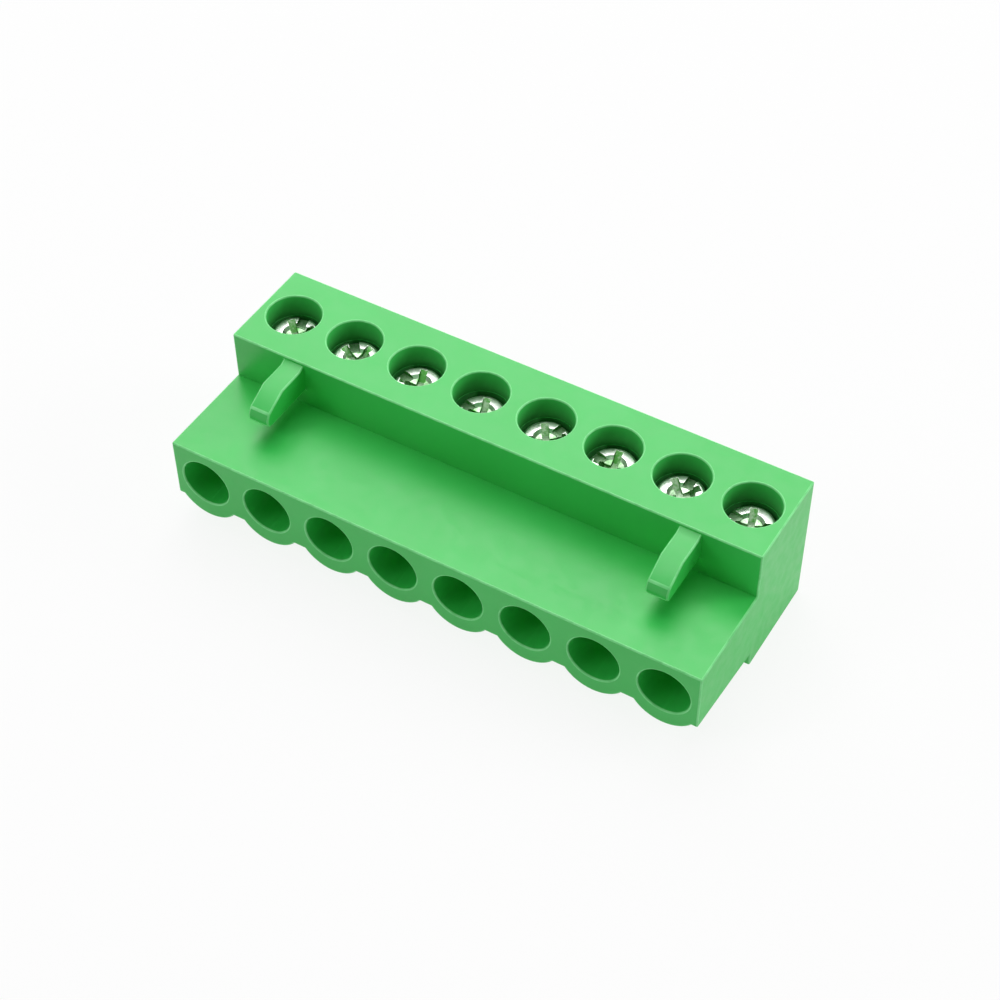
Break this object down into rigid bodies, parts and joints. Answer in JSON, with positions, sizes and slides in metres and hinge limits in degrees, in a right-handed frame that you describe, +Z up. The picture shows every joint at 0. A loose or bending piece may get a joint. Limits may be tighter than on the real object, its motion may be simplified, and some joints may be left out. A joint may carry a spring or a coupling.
{
  "type": "pluggable terminal block",
  "caption": "Pluggable screw terminal block: a moulded plug with round pin sockets in a scalloped nose, latch hooks over the deck and a rising-cage screw clamp behind each socket.",
  "frame": {"origin": "middle of the footprint, on the foot of the block", "axes": "+X along the row of poles, +Y from the nose to the wire side, +Z up along the clamp screws"},
  "size_m": [0.0406, 0.0154, 0.0108],
  "materials": {
    "housing": "satin moulded polyamide",
    "contact": "tinned bronze strip",
    "cage": "nickel plated",
    "screw": "bright nickel plated"
  },
  "bodies": {
    "housing": {"housing": "housing", "contact_1": "contact", "contact_2": "contact", "contact_3": "contact", "contact_4": "contact", "contact_5": "contact", "contact_6": "contact", "contact_7": "contact", "contact_8": "contact"},
    "screw_1": {"clamp_screw_1": "screw"},
    "cage_1": {"clamp_cage_1": "cage"},
    "screw_2": {"clamp_screw_2": "screw"},
    "cage_2": {"clamp_cage_2": "cage"},
    "screw_3": {"clamp_screw_3": "screw"},
    "cage_3": {"clamp_cage_3": "cage"},
    "screw_4": {"clamp_screw_4": "screw"},
    "cage_4": {"clamp_cage_4": "cage"},
    "screw_5": {"clamp_screw_5": "screw"},
    "cage_5": {"clamp_cage_5": "cage"},
    "screw_6": {"clamp_screw_6": "screw"},
    "cage_6": {"clamp_cage_6": "cage"},
    "screw_7": {"clamp_screw_7": "screw"},
    "cage_7": {"clamp_cage_7": "cage"},
    "screw_8": {"clamp_screw_8": "screw"},
    "cage_8": {"clamp_cage_8": "cage"}
  },
  "joints": [
    {"name": "turn_screw_1", "type": "hinge", "parent": "housing", "child": "screw_1", "pos_m": [-0.01778, 0.0039, 0.00745], "axis": [0, 0, -1], "range_deg": [0, 1332.1]},
    {"name": "turn_screw_2", "type": "hinge", "parent": "housing", "child": "screw_2", "pos_m": [-0.0127, 0.0039, 0.00745], "axis": [0, 0, -1], "range_deg": [0, 1332.1]},
    {"name": "turn_screw_3", "type": "hinge", "parent": "housing", "child": "screw_3", "pos_m": [-0.00762, 0.0039, 0.00745], "axis": [0, 0, -1], "range_deg": [0, 1332.1]},
    {"name": "turn_screw_4", "type": "hinge", "parent": "housing", "child": "screw_4", "pos_m": [-0.00254, 0.0039, 0.00745], "axis": [0, 0, -1], "range_deg": [0, 1332.1]},
    {"name": "turn_screw_5", "type": "hinge", "parent": "housing", "child": "screw_5", "pos_m": [0.00254, 0.0039, 0.00745], "axis": [0, 0, -1], "range_deg": [0, 1332.1]},
    {"name": "turn_screw_6", "type": "hinge", "parent": "housing", "child": "screw_6", "pos_m": [0.00762, 0.0039, 0.00745], "axis": [0, 0, -1], "range_deg": [0, 1332.1]},
    {"name": "turn_screw_7", "type": "hinge", "parent": "housing", "child": "screw_7", "pos_m": [0.0127, 0.0039, 0.00745], "axis": [0, 0, -1], "range_deg": [0, 1332.1]},
    {"name": "turn_screw_8", "type": "hinge", "parent": "housing", "child": "screw_8", "pos_m": [0.01778, 0.0039, 0.00745], "axis": [0, 0, -1], "range_deg": [0, 1332.1]},
    {"name": "lift_cage_1", "type": "slide", "parent": "housing", "child": "cage_1", "axis": [0, 0, 1], "range_m": [0, 0.00185]},
    {"name": "lift_cage_2", "type": "slide", "parent": "housing", "child": "cage_2", "axis": [0, 0, 1], "range_m": [0, 0.00185]},
    {"name": "lift_cage_3", "type": "slide", "parent": "housing", "child": "cage_3", "axis": [0, 0, 1], "range_m": [0, 0.00185]},
    {"name": "lift_cage_4", "type": "slide", "parent": "housing", "child": "cage_4", "axis": [0, 0, 1], "range_m": [0, 0.00185]},
    {"name": "lift_cage_5", "type": "slide", "parent": "housing", "child": "cage_5", "axis": [0, 0, 1], "range_m": [0, 0.00185]},
    {"name": "lift_cage_6", "type": "slide", "parent": "housing", "child": "cage_6", "axis": [0, 0, 1], "range_m": [0, 0.00185]},
    {"name": "lift_cage_7", "type": "slide", "parent": "housing", "child": "cage_7", "axis": [0, 0, 1], "range_m": [0, 0.00185]},
    {"name": "lift_cage_8", "type": "slide", "parent": "housing", "child": "cage_8", "axis": [0, 0, 1], "range_m": [0, 0.00185]}
  ],
  "couplings": [
    {"joint": "turn_screw_1", "follows": "lift_cage_1", "rad_per_m": 12566},
    {"joint": "turn_screw_2", "follows": "lift_cage_2", "rad_per_m": 12566},
    {"joint": "turn_screw_3", "follows": "lift_cage_3", "rad_per_m": 12566},
    {"joint": "turn_screw_4", "follows": "lift_cage_4", "rad_per_m": 12566},
    {"joint": "turn_screw_5", "follows": "lift_cage_5", "rad_per_m": 12566},
    {"joint": "turn_screw_6", "follows": "lift_cage_6", "rad_per_m": 12566},
    {"joint": "turn_screw_7", "follows": "lift_cage_7", "rad_per_m": 12566},
    {"joint": "turn_screw_8", "follows": "lift_cage_8", "rad_per_m": 12566}
  ]
}
